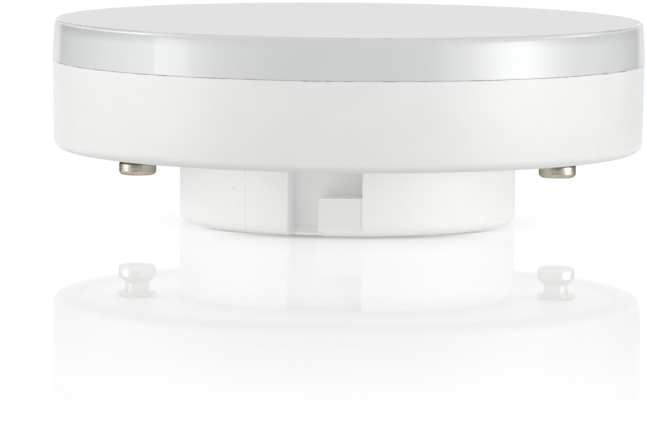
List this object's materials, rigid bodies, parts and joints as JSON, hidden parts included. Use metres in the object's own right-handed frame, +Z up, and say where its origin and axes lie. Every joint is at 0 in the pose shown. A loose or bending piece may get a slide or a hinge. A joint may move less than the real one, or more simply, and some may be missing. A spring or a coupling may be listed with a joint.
{
  "type": "led disc lamp",
  "caption": "Flat round LED lamp with an opal cover, a white moulded housing, and a twist-lock boss with L-shaped slots and headed contact pins.",
  "frame": {"origin": "centre of the boss's foot, on the surface that the lamp stands on", "axes": "+Z up through the cover, the side that gives light; the contact pins lie on the X axis; the slot that the picture shows faces -Y"},
  "size_m": [0.0746, 0.0746, 0.0255],
  "materials": {
    "opal_cover": "opal white, smooth and glossy",
    "white_housing": "white moulded plastic, satin",
    "nickel_pin": "nickel plated brass, satin",
    "aluminium_sheet": "mill finish",
    "insulating_film": "thin milky film",
    "led_board_white": "white solder mask on aluminium",
    "led_package": "yellow phosphor in a white package",
    "screw_steel": "bright zinc",
    "driver_board_green": "green solder mask",
    "capacitor_sleeve": "dark sleeve on an aluminium can",
    "film_capacitor_red": "dipped coating",
    "ferrite": "dull dark grey",
    "winding_tape": "yellow tape over the winding",
    "component_black": "moulded epoxy",
    "resistor_body": "matt coating",
    "wire_red": "soft insulation",
    "wire_black": "soft insulation"
  },
  "bodies": {
    "root": {"housing": "white_housing", "diffuser": "opal_cover", "contact_pin_left": "nickel_pin", "contact_pin_right": "nickel_pin", "insulating_film": "insulating_film", "heat_sink": "aluminium_sheet", "led_board": "led_board_white", "led_01": "led_package", "led_02": "led_package", "led_03": "led_package", "led_04": "led_package", "led_05": "led_package", "led_06": "led_package", "led_07": "led_package", "led_08": "led_package", "led_09": "led_package", "led_10": "led_package", "led_11": "led_package", "led_12": "led_package", "led_13": "led_package", "led_14": "led_package", "led_15": "led_package", "led_16": "led_package", "led_17": "led_package", "led_18": "led_package", "screw_1": "screw_steel", "screw_2": "screw_steel", "screw_3": "screw_steel", "driver_board": "driver_board_green", "electrolytic_capacitor": "capacitor_sleeve", "transformer_core": "ferrite", "transformer_winding": "winding_tape", "choke": "ferrite", "fusible_resistor": "resistor_body", "film_capacitor": "film_capacitor_red", "bridge_rectifier": "component_black", "driver_chip": "component_black", "input_wire_left": "wire_black", "input_wire_right": "wire_red", "output_wire_minus": "wire_black", "output_wire_plus": "wire_red"}
  },
  "joints": []
}
